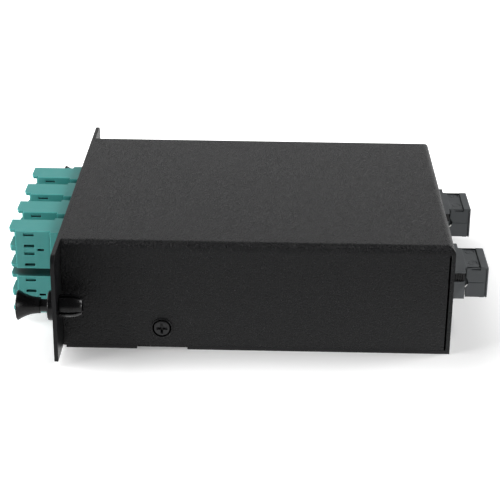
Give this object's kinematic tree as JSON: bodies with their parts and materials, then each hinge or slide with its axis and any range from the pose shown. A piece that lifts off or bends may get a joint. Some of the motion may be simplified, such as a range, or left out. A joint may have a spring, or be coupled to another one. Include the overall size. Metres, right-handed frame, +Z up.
{
  "type": "fibre cassette",
  "caption": "Flat folded-sheet fibre module: LC port adapters on the front plate between push-pull latches, capped multi-fibre adapters on the back wall.",
  "frame": {"origin": "centre of the base's underside", "axes": "+X from the front plate to the back wall, +Y across the plate, +Z up"},
  "size_m": [0.148, 0.1184, 0.035],
  "materials": {
    "base_sheet": "black powder coat, fine texture",
    "cover_sheet": "black powder coat, fine texture on top",
    "cover_screw": "blackened steel",
    "grommet": "black nylon",
    "plunger": "black nylon",
    "lc_adapter": "aqua moulded plastic",
    "rear_adapter": "dark grey moulded plastic",
    "dust_cap": "dark grey moulded plastic",
    "clip_steel": "spring steel",
    "ceramic": "white ceramic, polished",
    "ferrule_black": "filled black plastic",
    "lc_plug": "aqua moulded plastic",
    "boot": "soft aqua elastomer",
    "trunk_plug": "aqua moulded plastic",
    "pigtail": "aqua buffered fibre",
    "trunk_fibre": "aqua fibre tube",
    "fan_out_block": "black potted block",
    "spool": "natural nylon",
    "spool_screw": "zinc plated steel"
  },
  "bodies": {
    "cassette": {"base_and_front_plate": "base_sheet", "cover": "cover_sheet", "cover_screws": "cover_screw", "latch_grommet_left": "grommet", "rear_adapter_left": "rear_adapter", "rear_adapter_clip_left": "clip_steel", "dust_cap_left": "dust_cap", "trunk_plug_left": "trunk_plug", "trunk_boot_left": "boot", "fan_out_block_left": "fan_out_block", "trunk_fibre_left": "trunk_fibre", "latch_grommet_right": "grommet", "rear_adapter_right": "rear_adapter", "rear_adapter_clip_right": "clip_steel", "dust_cap_right": "dust_cap", "trunk_plug_right": "trunk_plug", "trunk_boot_right": "boot", "fan_out_block_right": "fan_out_block", "trunk_fibre_right": "trunk_fibre", "lc_adapter_1": "lc_adapter", "lc_plugs_1": "lc_plug", "pigtails_1": "pigtail", "lc_adapter_2": "lc_adapter", "lc_plugs_2": "lc_plug", "pigtails_2": "pigtail", "lc_adapter_3": "lc_adapter", "lc_plugs_3": "lc_plug", "pigtails_3": "pigtail", "lc_adapter_4": "lc_adapter", "lc_plugs_4": "lc_plug", "pigtails_4": "pigtail", "lc_adapter_5": "lc_adapter", "lc_plugs_5": "lc_plug", "pigtails_5": "pigtail", "lc_adapter_6": "lc_adapter", "lc_plugs_6": "lc_plug", "pigtails_6": "pigtail", "lc_adapter_7": "lc_adapter", "lc_plugs_7": "lc_plug", "pigtails_7": "pigtail", "lc_adapter_8": "lc_adapter", "lc_plugs_8": "lc_plug", "pigtails_8": "pigtail", "lc_adapter_clips": "clip_steel", "split_sleeves": "ceramic", "lc_ferrules": "ceramic", "lc_boots": "boot", "trunk_ferrules": "ferrule_black", "fibre_spool": "spool", "spool_screw": "spool_screw"},
    "latch_pin_left": {"latch_plunger_left": "plunger"},
    "latch_pin_right": {"latch_plunger_right": "plunger"}
  },
  "joints": [
    {"name": "latch_push_left", "type": "slide", "parent": "cassette", "child": "latch_pin_left", "axis": [1, 0, 0], "range_m": [0, 0.0022]},
    {"name": "latch_push_right", "type": "slide", "parent": "cassette", "child": "latch_pin_right", "axis": [1, 0, 0], "range_m": [0, 0.0022]}
  ]
}
